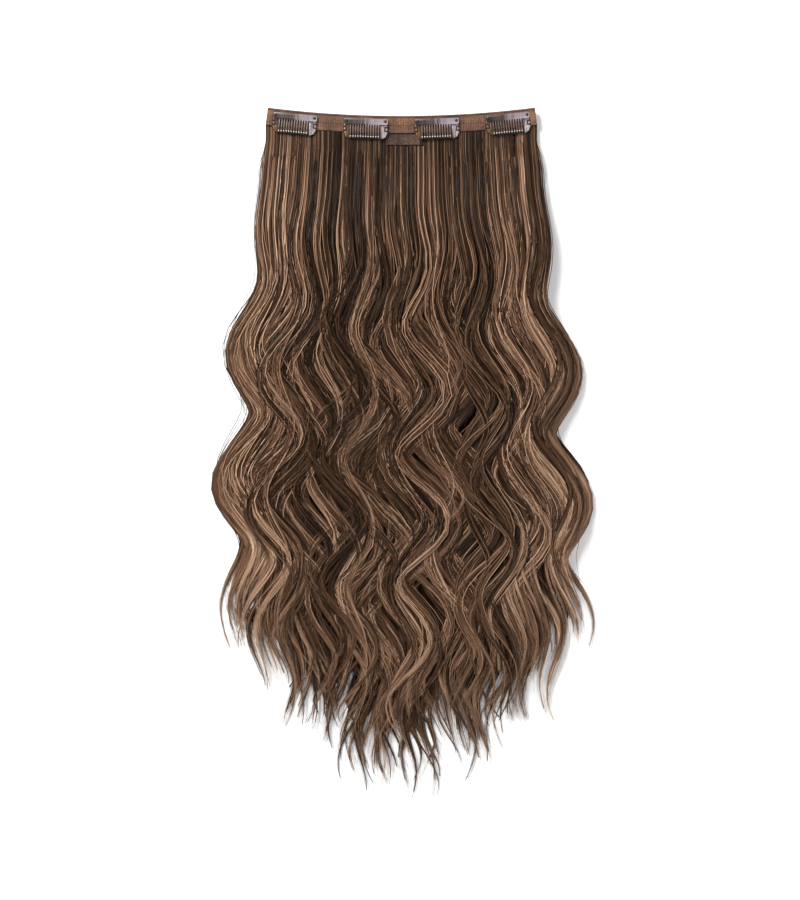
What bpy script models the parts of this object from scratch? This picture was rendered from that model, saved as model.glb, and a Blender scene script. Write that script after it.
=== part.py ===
"""Clip-in hair extension, lying flat with its four snap clips up.

Two wefts of wavy hair lie on each other, each with its locks fused to a sewn head.
A woven tape covers the heads, and four riveted snap clips sit on the tape.
+X runs along the tape, +Y from the hair's tips to the tape, +Z up from the surface.
The origin is the middle of the lowest weft head's flat underside.
"""

import math

import bmesh
import bpy
from mathutils import Vector

MM = 0.001
GAP = 0.3 * MM  # between soft pieces that touch
CLIP_GAP = 0.15 * MM  # between the small metal pieces of a clip

# Tape and weft heads, which follow one shallow arc
TAPE_LENGTH = 203 * MM
TAPE_SAG = 6.3 * MM  # how far the middle lies below the line through the two ends
TAPE_TOP = 10.4 * MM  # the tape's upper edge, above the middle of the heads
TAPE_HEIGHT = 11.4 * MM
TAPE_THICKNESS = 1.2 * MM
BINDING_RADIUS = 0.65 * MM
END_FOLD_WIDTH = 4.5 * MM
END_FOLD_THICKNESS = 0.8 * MM
HEAD_HEIGHT = 20 * MM
HEAD_THICKNESS = 1.8 * MM
HEAD_INSET = 1 * MM  # the heads stop this much short of the tape's ends

# Hair
HAIR_LENGTH = 482 * MM  # from the head's lower edge to the longest tip
HAIR_WIDTH = 203 * MM  # the lock table's sideways shares are of half of this
LAYER_DEPTH = 7.8 * MM  # each weft's thickness where its hair is full
LAYER_SPACE = 0.8 * MM  # between the hair of one weft and the next
FILLING_OUT = 90 * MM  # the hair reaches its full depth this far below the head
THINNING_FROM = 350 * MM  # and thins again from here to the tips
THINNING_RUN = 130 * MM
TIP_FULLNESS = 0.25
SIDE_FROM = 85 * MM  # it is also thinner towards its sides
SIDE_RUN = 60 * MM
SIDE_FULLNESS = 0.45
WAVE_SWING = 11 * MM
WAVE_COUNT = 4.2  # waves along the length, if none tightened
WAVE_TIGHTENING = 0.6  # more waves, growing with the square of the way down
WAVE_START = 0.04  # shares of the length between which the waves reach full swing
WAVE_FULL = 0.42
BELLY = 0.56  # share of the length where the outline is widest
TIP_RADIUS = 0.5 * MM
LOCK_ROOT_DEPTH = 4 * MM  # how far a lock reaches up into its head
STATION_STEP = 0.035  # share of the hair's length

# Clips
CLIP_COUNT = 4
CLIP_TOP = 9.4 * MM  # the comb's upper edge, above the middle of the heads
CLIP_LENGTH = 33 * MM
CLIP_SPREAD = TAPE_LENGTH - 2 * END_FOLD_WIDTH - 2 * GAP - CLIP_LENGTH  # from first to last
CLIP_PITCH = CLIP_SPREAD / (CLIP_COUNT - 1)
COMB_THICKNESS = 0.5 * MM
SPINE_HEIGHT = 4.6 * MM
SPINE_BOW = 0.8 * MM
TOOTH_COUNT = 12
TOOTH_PITCH = 1.9 * MM
TOOTH_WIDTH = 0.9 * MM
TOOTH_LENGTH = 9.4 * MM
TOOTH_RISE = 0.95 * MM
TOOTH_DIP = 0.12 * MM
TEETH_SHIFT = -0.7 * MM  # the row of teeth sits this far off the clip's middle
CORNER_RADIUS = 1 * MM
FRAME_THICKNESS = 0.6 * MM
PLATE_WIDTH = 5.2 * MM
PLATE_DROP = 10.6 * MM  # the frame's end plates reach this far below the comb's upper edge
FRAME_INSET = 0.3 * MM
BAR_WIDTH = 1.2 * MM
BAR_DROP = 14.4 * MM  # the bar's middle, below the comb's upper edge
BAR_HALF_LENGTH = 12.2 * MM
SLEEVE_RADIUS = 1.05 * MM
SLEEVE_WALL = 0.27 * MM
SLEEVE_LENGTH = 23 * MM
RIVET_DROP = 1.9 * MM
RIVET_INSET = 2 * MM  # from the clip's end to the rivet's axis
RIVET_HEAD_RADIUS = 1.1 * MM
RIVET_HEAD_HEIGHT = 0.6 * MM
RIVET_SHANK_RADIUS = 0.45 * MM
RIVET_HOLE_RADIUS = 0.65 * MM
FRAME_HOLE_RADIUS = 0.95 * MM
SEWING_HOLE_RADIUS = 0.55 * MM
SEWING_HOLE_DROPS = (6.3 * MM, 9.2 * MM)

# Heights of the stack, worked out from the thicknesses
HEAD_STEP = HEAD_THICKNESS + GAP
LAYER_STEP = LAYER_DEPTH + LAYER_SPACE
TAPE_UNDERSIDE = 2 * HEAD_STEP
TAPE_FACE = TAPE_UNDERSIDE + TAPE_THICKNESS
FRAME_UNDERSIDE = TAPE_FACE + GAP
COMB_UNDERSIDE = FRAME_UNDERSIDE + FRAME_THICKNESS + CLIP_GAP

HALF_CHORD = TAPE_LENGTH / 2
ARC_RADIUS = (HALF_CHORD**2 + TAPE_SAG**2) / (2 * TAPE_SAG)

# Each lock: root, belly and tip are sideways shares of half the hair's width, reach is
# its share of the hair's length, phase is in waves, swing and girth are shares of the full size,
# and lift is how high it lies in its weft, from 0 at the bottom to 1 at the top.
LOCK_COLUMNS = ("root", "belly", "tip", "reach", "phase", "swing", "girth", "lift")
LOWER_LOCKS = (
    (-0.93, -1.16, -1.15, 0.79, 0.36, 1.0, 1.0, 0.0),
    (-0.74, -0.96, -0.97, 0.84, 0.30, 1.1, 1.1, 0.9),
    (-0.56, -0.74, -0.80, 0.89, 0.40, 1.0, 1.0, 0.12),
    (-0.38, -0.50, -0.58, 0.93, 0.46, 1.0, 1.1, 1.0),
    (-0.20, -0.26, -0.33, 0.97, 0.42, 0.9, 1.0, 0.05),
    (-0.02, -0.02, -0.11, 1.00, 0.52, 0.9, 1.1, 0.86),
    (0.17, 0.24, 0.15, 1.00, 0.58, 1.0, 1.0, 0.16),
    (0.36, 0.48, 0.45, 0.97, 0.54, 1.0, 1.1, 0.95),
    (0.55, 0.73, 0.70, 0.94, 0.62, 1.0, 1.0, 0.02),
    (0.74, 0.96, 0.92, 0.89, 0.66, 1.0, 1.1, 0.82),
    (0.93, 1.17, 1.19, 0.80, 0.70, 1.0, 1.0, 0.09),
)
UPPER_LOCKS = (
    (-0.90, -1.08, -1.08, 0.74, 0.36, 1.1, 1.0, 0.05),
    (-0.70, -0.90, -0.88, 0.80, 0.24, 1.4, 1.0, 0.9),
    (-0.50, -0.66, -0.66, 0.85, 0.30, 1.3, 1.0, 0.0),
    (-0.30, -0.42, -0.44, 0.89, 0.40, 1.2, 1.1, 1.0),
    (-0.10, -0.12, -0.20, 0.92, 0.46, 1.3, 1.0, 0.12),
    (0.10, 0.12, 0.08, 0.93, 0.56, 1.3, 1.0, 0.85),
    (0.30, 0.38, 0.36, 0.92, 0.68, 1.2, 1.1, 0.08),
    (0.50, 0.66, 0.64, 0.88, 0.48, 1.3, 1.0, 0.95),
    (0.70, 0.90, 0.92, 0.83, 0.56, 1.2, 1.0, 0.15),
    (0.90, 1.08, 1.12, 0.75, 0.70, 1.1, 1.0, 0.8),
)
WEFTS = (
    ("weft_lower", LOWER_LOCKS),
    ("weft_upper", UPPER_LOCKS),
)


def smooth(share):
    """An ease from 0 to 1 with level ends."""
    share = min(1.0, max(0.0, share))
    return share * share * (3 - 2 * share)


def blend(low, high, share):
    return low + (high - low) * share


def clear_scene():
    for old in list(bpy.data.objects):
        bpy.data.objects.remove(old, do_unlink=True)


def new_collection(name, parent):
    collection = bpy.data.collections.new(name)
    parent.children.link(collection)
    return collection


def new_material(name, colour, roughness, metallic=0.0):
    material = bpy.data.materials.new(name)
    material.use_nodes = True
    shader = material.node_tree.nodes["Principled BSDF"]
    shader.inputs["Base Color"].default_value = (*colour, 1.0)
    shader.inputs["Roughness"].default_value = roughness
    shader.inputs["Metallic"].default_value = metallic
    return material


def add_object(name, data, collection, material=None, parent=None):
    made = bpy.data.objects.new(name, data)
    collection.objects.link(made)
    made.parent = parent
    if material is not None:
        data.materials.append(material)
    return made


def add_empty(name, collection, place, turn=0.0, parent=None):
    empty = add_object(name, None, collection, parent=parent)
    empty.location = place
    empty.rotation_euler.z = turn
    return empty


def make_helper(made):
    """A cutter or a joined shape, which isn't a piece by itself."""
    made.hide_render = True
    made.display_type = "WIRE"


def arc_point(along, above, height=0.0):
    """A point on the tape's arc: along it, above the middle of the heads, and above the surface."""
    angle = along / ARC_RADIUS
    reach = ARC_RADIUS - above
    return Vector((reach * math.sin(angle), ARC_RADIUS - reach * math.cos(angle), height))


def arc_rise(x):
    """How much higher in Y the arc lies at x than at its middle."""
    return ARC_RADIUS - math.sqrt(ARC_RADIUS**2 - x * x)


def bent_strip(name, ends, edges, underside, thickness, columns, collection, material):
    """A flat strip along the arc, between two ends and two edges, made thick upwards."""
    bm = bmesh.new()
    bmesh.ops.create_grid(bm, x_segments=columns, y_segments=1, size=0.5)
    for vertex in bm.verts:
        along = blend(ends[0], ends[1], vertex.co.x + 0.5)
        above = blend(edges[0], edges[1], vertex.co.y + 0.5)
        vertex.co = arc_point(along, above, underside)
    mesh = bpy.data.meshes.new(name)
    bm.to_mesh(mesh)
    bm.free()
    strip = add_object(name, mesh, collection, material)
    shell = strip.modifiers.new("Thickness", "SOLIDIFY")
    shell.thickness = thickness
    shell.offset = 1
    return strip


def wave_angle(down, phase):
    return 2 * math.pi * (WAVE_COUNT * down + WAVE_TIGHTENING * down * down + phase)


def lock_centre(lock, down):
    """Where a lock's middle lies, at a share of the hair's length below its head."""
    if down < BELLY:
        share = blend(lock["root"], lock["belly"], smooth(down / BELLY))
    else:
        below = (down - BELLY) / max(lock["reach"] - BELLY, 0.01)
        share = blend(lock["belly"], lock["tip"], smooth(below))
    swing = WAVE_SWING * lock["swing"] * smooth((down - WAVE_START) / (WAVE_FULL - WAVE_START))
    x = share * HAIR_WIDTH / 2 + swing * math.sin(wave_angle(down, lock["phase"]))
    root_y = arc_rise(lock["root"] * HAIR_WIDTH / 2) - HEAD_HEIGHT / 2
    return Vector((x, root_y - down * HAIR_LENGTH))


def fullness(point):
    """How full the hair is at a point, from 0 at the heads to 1 in its middle."""
    edge = arc_rise(max(-HALF_CHORD, min(HALF_CHORD, point.x))) - HEAD_HEIGHT / 2
    below = edge - point.y
    filled = smooth(below / FILLING_OUT)
    tips = blend(1, TIP_FULLNESS, smooth((below - THINNING_FROM) / THINNING_RUN))
    sides = blend(1, SIDE_FULLNESS, smooth((abs(point.x) - SIDE_FROM) / SIDE_RUN))
    return filled * tips * sides


def lock_stations(lock):
    """Shares of the length, the same for every lock down to its own tip."""
    steps = round(lock["reach"] / STATION_STEP)
    below = [STATION_STEP * step for step in range(1, steps)]
    return [-LOCK_ROOT_DEPTH / HAIR_LENGTH, *below, lock["reach"]]


def lock_half_width(lock, down, locks_across):
    """A lock is as wide as its share of the head, fuller at the belly, and runs to a point."""
    at_root = 0.66 * HAIR_WIDTH / locks_across
    at_belly = 0.72 * HAIR_WIDTH / locks_across * lock["girth"]
    width = blend(at_root, at_belly, smooth(down / BELLY))
    taper = 1 - smooth((down / lock["reach"] - 0.7) / 0.3)
    return max(TIP_RADIUS, width * taper)


def lock_section(lock, layer, down, locks_across):
    """Four corners of a lock's flat lens section."""
    centre = lock_centre(lock, down)
    ahead = lock_centre(lock, down + 0.005)
    run = (ahead - centre).normalized()
    across = Vector((-run.y, run.x))
    half = lock_half_width(lock, down, locks_across)
    taper = 1 - smooth((down / lock["reach"] - 0.7) / 0.3)
    corners = []
    for side, up in ((-1, 0.4), (-0.15, 1), (1, 0.5), (0.1, 0)):
        place = centre + side * half * across
        full = fullness(place)
        low = blend(layer * HEAD_STEP + 0.15 * HEAD_THICKNESS, layer * LAYER_STEP, full)
        depth = blend(0.7 * HEAD_THICKNESS, LAYER_DEPTH, full)
        thick = max(2 * TIP_RADIUS, depth * (0.75 * taper + 0.1))
        lifted = lock["lift"] * max(0.0, depth - thick) * full
        corners.append(Vector((place.x, place.y, low + lifted + up * thick)))
    return corners


def loft(name, sections, collection, material):
    """A closed solid through sections of as many corners each."""
    bm = bmesh.new()
    rings = [[bm.verts.new(corner) for corner in section] for section in sections]
    for ring, after in zip(rings, rings[1:]):
        for corner in range(len(ring)):
            beside = (corner + 1) % len(ring)
            bm.faces.new((ring[corner], ring[beside], after[beside], after[corner]))
    bm.faces.new(rings[0])
    bm.faces.new(rings[-1])
    bmesh.ops.recalc_face_normals(bm, faces=bm.faces)
    mesh = bpy.data.meshes.new(name)
    bm.to_mesh(mesh)
    bm.free()
    return add_object(name, mesh, collection, material)


def fill_pockets(made):
    """Take a joined shape as a plain mesh, without the sealed pockets left between its locks."""
    depsgraph = bpy.context.evaluated_depsgraph_get()
    mesh = bpy.data.meshes.new_from_object(made.evaluated_get(depsgraph))
    made.modifiers.clear()
    made.data = mesh
    bm = bmesh.new()
    bm.from_mesh(mesh)
    unseen = set(bm.faces)
    while unseen:
        shell = set()
        ahead = [unseen.pop()]
        while ahead:
            face = ahead.pop()
            shell.add(face)
            for beside in (other for edge in face.edges for other in edge.link_faces):
                if beside in unseen:
                    unseen.remove(beside)
                    ahead.append(beside)
        flow = sum(face.normal.dot(face.calc_center_median()) * face.calc_area() for face in shell)
        if flow < 0:
            bmesh.ops.delete(bm, geom=list(shell), context="FACES")
    bm.to_mesh(mesh)
    bm.free()


def add_weft(name, layer, rows, collection, helpers, material):
    """A sewn head with its locks fused to it."""
    ends = (HEAD_INSET - HALF_CHORD, HALF_CHORD - HEAD_INSET)
    edges = (-HEAD_HEIGHT / 2, HEAD_HEIGHT / 2)
    underside = layer * HEAD_STEP
    head = bent_strip(name, ends, edges, underside, HEAD_THICKNESS, 12, collection, material)
    locks = new_collection(name + "_locks", helpers)
    for number, row in enumerate(rows):
        lock = dict(zip(LOCK_COLUMNS, row))
        sections = [lock_section(lock, layer, down, len(rows)) for down in lock_stations(lock)]
        make_helper(loft(f"{name}_lock_{number}", sections, locks, material))
    join = head.modifiers.new("Locks", "BOOLEAN")
    join.operation = "UNION"
    join.solver = "EXACT"
    join.operand_type = "COLLECTION"
    join.collection = locks
    fill_pockets(head)


def add_binding(collection, material):
    """A thin rolled edge along the top of the tape."""
    curve = bpy.data.curves.new("top_binding", "CURVE")
    curve.dimensions = "3D"
    curve.bevel_depth = BINDING_RADIUS
    curve.bevel_resolution = 1
    curve.use_fill_caps = True
    point_count = 17
    line = curve.splines.new("POLY")
    line.points.add(point_count - 1)
    above = TAPE_TOP + BINDING_RADIUS + GAP
    height = (TAPE_UNDERSIDE + TAPE_FACE) / 2
    for number, point in enumerate(line.points):
        along = blend(-HALF_CHORD, HALF_CHORD, number / (point_count - 1))
        point.co = (*arc_point(along, above, height), 1)
    add_object("top_binding", curve, collection, material)


def add_tape(collection, tape_material, binding_material):
    edges = (TAPE_TOP - TAPE_HEIGHT, TAPE_TOP)
    ends = (-HALF_CHORD, HALF_CHORD)
    bent_strip("tape", ends, edges, TAPE_UNDERSIDE, TAPE_THICKNESS, 16, collection, tape_material)
    for side, sign in (("left", -1), ("right", 1)):
        ends = sorted((sign * HALF_CHORD, sign * (HALF_CHORD - END_FOLD_WIDTH)))
        underside = TAPE_FACE + GAP
        name = "end_fold_" + side
        bent_strip(name, ends, edges, underside, END_FOLD_THICKNESS, 2, collection, tape_material)
    add_binding(collection, binding_material)


def circle(centre, radius, corners):
    turn = 2 * math.pi / corners
    return [
        (centre[0] + radius * math.cos(k * turn), centre[1] + radius * math.sin(k * turn))
        for k in range(corners)
    ]


def flat_plate(name, outlines, thickness, bend=None):
    """A mesh of the first outline less the others, its underside at 0, bent by a height for each place."""
    curve = bpy.data.curves.new(name, "CURVE")
    curve.dimensions = "2D"
    curve.fill_mode = "BOTH"
    curve.extrude = thickness / 2
    for outline in outlines:
        line = curve.splines.new("POLY")
        line.points.add(len(outline) - 1)
        for point, (x, y) in zip(line.points, outline):
            point.co = (x, y, 0, 1)
        line.use_cyclic_u = True
    drawn = bpy.data.objects.new(name, curve)
    bpy.context.scene.collection.objects.link(drawn)
    mesh = bpy.data.meshes.new_from_object(drawn.evaluated_get(bpy.context.evaluated_depsgraph_get()))
    bpy.data.objects.remove(drawn)
    bm = bmesh.new()
    bm.from_mesh(mesh)
    bmesh.ops.remove_doubles(bm, verts=bm.verts, dist=1e-6)
    for vertex in bm.verts:
        vertex.co.z += thickness / 2
        if bend is not None:
            vertex.co.z += bend(vertex.co.x, -vertex.co.y)
    bmesh.ops.recalc_face_normals(bm, faces=bm.faces)
    bm.to_mesh(mesh)
    bm.free()
    return mesh


def tooth_middle(number):
    return TEETH_SHIFT + (number - (TOOTH_COUNT - 1) / 2) * TOOTH_PITCH


def comb_bend(x, drop):
    """The comb bows along its length, and its teeth rise over the bar and dip at the tips."""
    height = SPINE_BOW * (1 - (2 * x / CLIP_LENGTH) ** 2)
    inside = abs(x - TEETH_SHIFT) < TOOTH_COUNT * TOOTH_PITCH / 2
    if inside and drop > SPINE_HEIGHT:
        share = (drop - SPINE_HEIGHT) / TOOTH_LENGTH
        height += TOOTH_RISE * smooth(share / 0.6) - TOOTH_DIP * smooth((share - 0.8) / 0.2)
    return height


def comb_outline():
    """From the upper left corner round the spine, past the teeth from right to left."""
    end = CLIP_LENGTH / 2
    soft = CORNER_RADIUS * (1 - math.sqrt(0.5))
    points = [(-end, -CORNER_RADIUS), (soft - end, -soft), (CORNER_RADIUS - end, 0)]
    points += [(end - CORNER_RADIUS, 0), (end - soft, -soft), (end, -CORNER_RADIUS)]
    points += [(end, CORNER_RADIUS - SPINE_HEIGHT), (end - CORNER_RADIUS, -SPINE_HEIGHT)]
    half = TOOTH_WIDTH / 2
    tip = -SPINE_HEIGHT - TOOTH_LENGTH
    for number in reversed(range(TOOTH_COUNT)):
        middle = tooth_middle(number)
        waist = [-SPINE_HEIGHT - share * TOOTH_LENGTH for share in (0.3, 0.65)]
        points += [(middle + half, y) for y in (-SPINE_HEIGHT, *waist, tip + half)]
        points += [(middle, tip)]
        points += [(middle - half, y) for y in (tip + half, *reversed(waist), -SPINE_HEIGHT)]
    points += [(CORNER_RADIUS - end, -SPINE_HEIGHT), (-end, CORNER_RADIUS - SPINE_HEIGHT)]
    return points


def comb_mesh():
    outlines = [comb_outline()]
    for sign in (-1, 1):
        x = sign * (CLIP_LENGTH / 2 - RIVET_INSET)
        outlines.append(circle((x, -RIVET_DROP), RIVET_HOLE_RADIUS, 8))
    return flat_plate("clip_comb", outlines, COMB_THICKNESS, comb_bend)


def frame_mesh():
    """A flat U: two end plates with sewing holes, and the bar that the teeth close on."""
    outer = CLIP_LENGTH / 2 - FRAME_INSET
    inner = outer - PLATE_WIDTH
    bar_low = -BAR_DROP - BAR_WIDTH / 2
    bar_high = -BAR_DROP + BAR_WIDTH / 2
    right = [
        (inner, -FRAME_INSET),
        (outer, -FRAME_INSET),
        (outer, -PLATE_DROP),
        (blend(outer, BAR_HALF_LENGTH, 0.35), blend(-PLATE_DROP, bar_low, 0.7)),
        (BAR_HALF_LENGTH, bar_low),
    ]
    inside = [(BAR_HALF_LENGTH - BAR_WIDTH / 2, bar_high), (inner, -PLATE_DROP)]
    outline = right + [(-x, y) for x, y in reversed(right)]
    outline += [(-x, y) for x, y in reversed(inside)] + inside
    holes = []
    for sign in (-1, 1):
        x = sign * (CLIP_LENGTH / 2 - RIVET_INSET)
        holes.append(circle((x, -RIVET_DROP), FRAME_HOLE_RADIUS, 8))
        for drop in SEWING_HOLE_DROPS:
            holes.append(circle((x, -drop), SEWING_HOLE_RADIUS, 6))
    return flat_plate("clip_frame", [outline, *holes], FRAME_THICKNESS)


def sleeve_mesh():
    """The soft tube on the bar, along X with its axis at the origin."""
    bm = bmesh.new()
    bmesh.ops.create_cone(
        bm, segments=8, radius1=SLEEVE_RADIUS, radius2=SLEEVE_RADIUS, depth=SLEEVE_LENGTH
    )
    for vertex in bm.verts:
        vertex.co = (vertex.co.z, vertex.co.x, vertex.co.y)
    bmesh.ops.recalc_face_normals(bm, faces=bm.faces)
    for face in bm.faces:
        face.normal_flip()
    mesh = bpy.data.meshes.new("clip_sleeve")
    bm.to_mesh(mesh)
    bm.free()
    return mesh


def rivet_mesh():
    """The half section of a domed rivet, for a Screw modifier. Its axis is Z, with the comb's underside at 0."""
    head = COMB_THICKNESS + CLIP_GAP
    foot = -0.8 * (FRAME_THICKNESS + CLIP_GAP)
    profile = [
        (0, head + RIVET_HEAD_HEIGHT),
        (0.6 * RIVET_HEAD_RADIUS, head + 0.8 * RIVET_HEAD_HEIGHT),
        (RIVET_HEAD_RADIUS, head),
        (RIVET_SHANK_RADIUS, head),
        (RIVET_SHANK_RADIUS, foot),
        (0, foot),
    ]
    mesh = bpy.data.meshes.new("clip_rivet")
    edges = [(k, k + 1) for k in range(len(profile) - 1)]
    mesh.from_pydata([(x, 0, z) for x, z in profile], edges, [])
    return mesh


def add_clips(collection, steel, lacquer, rubber):
    comb = comb_mesh()
    frame = frame_mesh()
    sleeve = sleeve_mesh()
    rivet = rivet_mesh()
    for mesh, material in ((comb, steel), (frame, lacquer), (sleeve, rubber), (rivet, steel)):
        mesh.materials.append(material)
    for number in range(CLIP_COUNT):
        name = f"clip_{number + 1}"
        along = (number - (CLIP_COUNT - 1) / 2) * CLIP_PITCH
        turn = along / ARC_RADIUS
        seat = add_empty(name, collection, arc_point(along, CLIP_TOP, FRAME_UNDERSIDE), turn)
        add_object(name + "_frame", frame, collection, parent=seat)
        tube = add_object(name + "_sleeve", sleeve, collection, parent=seat)
        tube.location = (0, -BAR_DROP, FRAME_THICKNESS / 2)
        wall = tube.modifiers.new("Wall", "SOLIDIFY")
        wall.thickness = SLEEVE_WALL
        wall.offset = 1
        rise = COMB_UNDERSIDE - FRAME_UNDERSIDE
        hinge = add_empty(name + "_hinge", collection, (0, 0, rise), parent=seat)
        add_object(name + "_comb", comb, collection, parent=hinge)
        for side, sign in (("left", -1), ("right", 1)):
            pin = add_object(f"{name}_rivet_{side}", rivet, collection, parent=hinge)
            x = sign * (CLIP_LENGTH / 2 - RIVET_INSET)
            pin.location = (x, -RIVET_DROP, comb_bend(x, RIVET_DROP))
            spin = pin.modifiers.new("Turn", "SCREW")
            spin.steps = spin.render_steps = 8
            spin.use_merge_vertices = True
            spin.merge_threshold = 1e-6


def main():
    clear_scene()
    scene = bpy.context.scene.collection
    extension = new_collection("clip_in_hair_extension", scene)
    helpers = new_collection("joined_locks", scene)
    hair = new_material("brown_hair", (0.16, 0.085, 0.05), 0.45)
    tape = new_material("woven_tape", (0.22, 0.12, 0.08), 0.9)
    binding = new_material("tape_binding", (0.10, 0.055, 0.04), 0.9)
    steel = new_material("brown_steel", (0.12, 0.07, 0.055), 0.3, 0.8)
    lacquer = new_material("amber_lacquer", (0.26, 0.14, 0.05), 0.3, 0.8)
    rubber = new_material("dark_rubber", (0.015, 0.01, 0.01), 0.5)
    for layer, (name, rows) in enumerate(WEFTS):
        add_weft(name, layer, rows, extension, helpers, hair)
    add_tape(extension, tape, binding)
    add_clips(extension, steel, lacquer, rubber)


main()
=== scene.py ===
"""A clip-in hair extension: wavy strands on a ribbed tape, with four riveted snap clips."""

import math

import bmesh
import bpy
import numpy as np
from mathutils import Matrix, Vector


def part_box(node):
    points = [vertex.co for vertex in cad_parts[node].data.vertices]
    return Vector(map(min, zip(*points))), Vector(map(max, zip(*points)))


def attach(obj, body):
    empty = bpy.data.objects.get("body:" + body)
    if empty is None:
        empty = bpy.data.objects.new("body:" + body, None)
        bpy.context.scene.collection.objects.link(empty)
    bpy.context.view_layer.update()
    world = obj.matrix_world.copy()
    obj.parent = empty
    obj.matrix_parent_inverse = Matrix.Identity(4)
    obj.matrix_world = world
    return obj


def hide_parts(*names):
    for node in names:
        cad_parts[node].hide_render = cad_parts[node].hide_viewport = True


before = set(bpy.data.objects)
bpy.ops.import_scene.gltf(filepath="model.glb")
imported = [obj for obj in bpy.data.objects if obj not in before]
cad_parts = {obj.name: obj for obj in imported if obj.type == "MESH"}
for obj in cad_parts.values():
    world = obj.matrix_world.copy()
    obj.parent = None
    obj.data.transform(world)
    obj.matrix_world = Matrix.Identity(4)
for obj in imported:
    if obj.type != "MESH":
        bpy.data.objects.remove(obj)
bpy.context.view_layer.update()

MM = 0.001
GAP = 0.3 * MM

# Tape and weft heads, which follow one shallow arc
TAPE_LENGTH = 203 * MM
TAPE_SAG = 6.3 * MM
TAPE_TOP = 10.4 * MM
TAPE_HEIGHT = 11.4 * MM
TAPE_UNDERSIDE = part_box("tape")[0][2]
TAPE_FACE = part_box("tape")[1][2]
HALF_CHORD = TAPE_LENGTH / 2
ARC_RADIUS = (HALF_CHORD**2 + TAPE_SAG**2) / (2 * TAPE_SAG)
HEAD_HEIGHT = 20 * MM
HEAD_THICKNESS = 1.8 * MM
HEAD_STEP = HEAD_THICKNESS + GAP
HEADS_TOP = 2 * HEAD_THICKNESS + GAP
END_FOLD_WIDTH = 4.5 * MM
BINDING_RADIUS = 0.65 * MM
RIB_PITCH = 1.25 * MM
RIB_RADIUS = 0.44 * MM
RIB_SUNK = 0.12 * MM
THREAD_RADIUS = 0.16 * MM
BARE_STRIP = (-13 * MM, 16 * MM)

# Hair
HAIR_LENGTH = 482 * MM
HAIR_WIDTH = 203 * MM
LAYER_DEPTH = 7.8 * MM
LAYER_STEP = LAYER_DEPTH + 0.8 * MM
FILLING_OUT = 90 * MM
THINNING_FROM = 350 * MM
THINNING_RUN = 130 * MM
TIP_FULLNESS = 0.25
SIDE_FROM = 85 * MM
SIDE_RUN = 60 * MM
SIDE_FULLNESS = 0.45
WAVE_SWING = 11 * MM
WAVE_COUNT = 4.2
WAVE_TIGHTENING = 0.6
WAVE_START = 0.04
WAVE_FULL = 0.42
BELLY = 0.56
HAIR_STEPS = 44
HAIR_RADIUS = 0.29 * MM
WISP_RADIUS = 2.4 * MM
KEPT_WISPS = 3
ON_TOP = 0.5
LOWEST_HAIR = 0.65 * MM
LOWEST_WISP = 1.3 * MM
ROOT_LOOSENESS = 4 * MM
HAIR_SEED = 11
MOST_TRIANGLES = 190000

# Clips
CLIP_COUNT = 4
CLIP_LENGTH = 33 * MM
CLIP_SPREAD = TAPE_LENGTH - 2 * END_FOLD_WIDTH - 2 * GAP - CLIP_LENGTH
CLIP_PITCH = CLIP_SPREAD / (CLIP_COUNT - 1)
CLIP_TOP = 9.4 * MM
SPINE_HEIGHT = 4.6 * MM
SPINE_BOW = 0.8 * MM
COMB_THICKNESS = 0.5 * MM
COMB_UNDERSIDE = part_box("clip_1_comb")[0][2]
FRAME_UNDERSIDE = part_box("clip_1_frame")[0][2]
TOOTH_COUNT = 12
TOOTH_PITCH = 1.9 * MM
TOOTH_LENGTH = 9.4 * MM
TOOTH_RISE = 0.95 * MM
TOOTH_DIP = 0.12 * MM
TEETH_SHIFT = -0.7 * MM
TOOTH_TIP_RADII = (0.52 * MM, 0.66 * MM, 0.4 * MM)
BAR_DROP = 14.4 * MM
FRAME_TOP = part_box("clip_1_frame")[1][2]
FRAME_THICKNESS = FRAME_TOP - FRAME_UNDERSIDE
SLEEVE_RADIUS = 1.05 * MM
SLEEVE_WALL = 0.27 * MM
SLEEVE_LENGTH = 23 * MM
RIVET_DROP = 1.9 * MM
RIVET_INSET = 2 * MM
RIVET_HEAD_RADIUS = 1.1 * MM
RIVET_HEAD_HEIGHT = 0.6 * MM
RIVET_SHANK_RADIUS = 0.45 * MM
SEWING_HOLE_DROPS = (6.3 * MM, 9.2 * MM)
SEWING_RADIUS = 0.36 * MM

# Camera, which shows the photo's frame
PHOTO_HEIGHT = 900
PIXEL_MM = 0.75
LENS = 85
SENSOR = 36

LOCK_COLUMNS = ("root", "belly", "tip", "reach", "phase", "swing", "girth", "lift")
LOWER_LOCKS = (
    (-0.93, -1.16, -1.15, 0.79, 0.36, 1.0, 1.0, 0.0),
    (-0.74, -0.96, -0.97, 0.84, 0.30, 1.1, 1.1, 0.9),
    (-0.56, -0.74, -0.80, 0.89, 0.40, 1.0, 1.0, 0.12),
    (-0.38, -0.50, -0.58, 0.93, 0.46, 1.0, 1.1, 1.0),
    (-0.20, -0.26, -0.33, 0.97, 0.42, 0.9, 1.0, 0.05),
    (-0.02, -0.02, -0.11, 1.00, 0.52, 0.9, 1.1, 0.86),
    (0.17, 0.24, 0.15, 1.00, 0.58, 1.0, 1.0, 0.16),
    (0.36, 0.48, 0.45, 0.97, 0.54, 1.0, 1.1, 0.95),
    (0.55, 0.73, 0.70, 0.94, 0.62, 1.0, 1.0, 0.02),
    (0.74, 0.96, 0.92, 0.89, 0.66, 1.0, 1.1, 0.82),
    (0.93, 1.17, 1.19, 0.80, 0.70, 1.0, 1.0, 0.09),
)
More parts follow.
